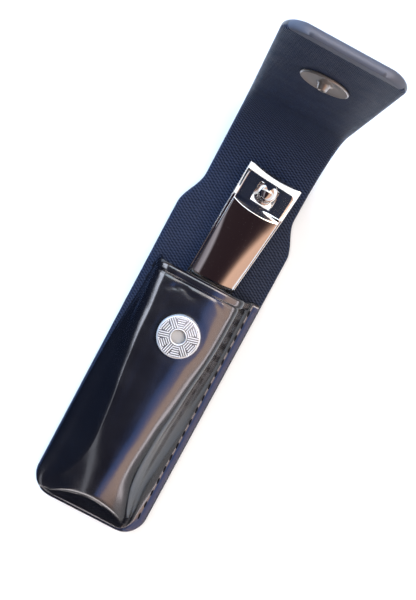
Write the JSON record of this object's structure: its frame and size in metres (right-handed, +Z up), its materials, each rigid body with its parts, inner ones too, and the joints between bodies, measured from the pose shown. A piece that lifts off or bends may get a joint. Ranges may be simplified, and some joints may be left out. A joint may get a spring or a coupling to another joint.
{
  "type": "nail clipper with case",
  "caption": "Chrome nail clipper with a folding lever, in a black leather pocket case with a magnetic snap flap.",
  "frame": {"origin": "middle of the pocket mouth, on the outer face of the back that the case lies on", "axes": "+X across the case, +Y from the closed end of the pocket towards the flap, +Z up from the back"},
  "size_m": [0.0322, 0.1254, 0.0838],
  "materials": {
    "outer_leather": "smooth semi-gloss",
    "lining_leather": "embossed cross-hatch, satin",
    "front_leather": "smooth gloss",
    "edge_leather": "smooth turned edge",
    "thread": "waxed thread",
    "snap_chrome": "stamped, polished",
    "snap_steel": "plain stamped",
    "magnet": "sintered",
    "clipper_chrome": "polished",
    "pin_chrome": "polished"
  },
  "bodies": {
    "case": {"back_outer": "outer_leather", "back_lining": "lining_leather", "pocket_front": "front_leather", "seam_stitches_left": "thread", "seam_stitches_right": "thread", "socket_base": "snap_steel", "socket_magnet": "magnet", "socket_cover": "snap_chrome", "socket_washer": "snap_steel"},
    "neck_root": {"neck_root_outer": "outer_leather", "neck_root_lining": "lining_leather"},
    "neck_wall": {"neck_wall_outer": "outer_leather", "neck_wall_lining": "lining_leather"},
    "flap": {"flap_outer": "outer_leather", "flap_lining": "lining_leather", "flap_edge": "edge_leather", "stud_plate": "snap_chrome", "stud_washer": "snap_steel"},
    "clipper": {"lower_blade": "clipper_chrome", "rear_rivets": "pin_chrome"},
    "upper_blade": {"upper_blade": "clipper_chrome"},
    "pin": {"pin": "pin_chrome"},
    "lever": {"lever": "clipper_chrome"}
  },
  "joints": [
    {"name": "clipper_draw", "type": "slide", "parent": "case", "child": "clipper", "axis": [0.075, 0.9972, 0], "range_m": [0, 0.055]},
    {"name": "jaw_close", "type": "hinge", "parent": "clipper", "child": "upper_blade", "pos_m": [-0.00237, -0.04149, 0.0042], "axis": [0.9972, -0.075, 0], "range_deg": [-1.05, 0], "stiffness_Nm_per_rad": 2},
    {"name": "pin_swivel", "type": "hinge", "parent": "clipper", "child": "pin", "pos_m": [0.00274, 0.02651, 0.0023], "axis": [0, 0, 1], "range_deg": [-0.8, 4]},
    {"name": "lever_lift", "type": "hinge", "parent": "pin", "child": "lever", "pos_m": [0.0029, 0.02861, 0.01049], "axis": [-0.9972, 0.075, 0], "range_deg": [0, 2.5]},
    {"name": "flap_back", "type": "hinge", "parent": "case", "child": "neck_root", "pos_m": [0, 0.01001, 0], "axis": [1, 0, 0], "range_deg": [-170, 0]},
    {"name": "neck_fold", "type": "hinge", "parent": "neck_root", "child": "neck_wall", "pos_m": [0, 0.0325, 0.002], "axis": [1, 0, 0], "range_deg": [-42, 48]},
    {"name": "flap_fold", "type": "hinge", "parent": "neck_wall", "child": "flap", "pos_m": [0, 0.04506, 0.01331], "axis": [1, 0, 0], "range_deg": [-42, 48]}
  ],
  "couplings": [
    {"joint": "flap_back", "follows": "clipper_draw", "rad_per_m": -53.947}
  ]
}
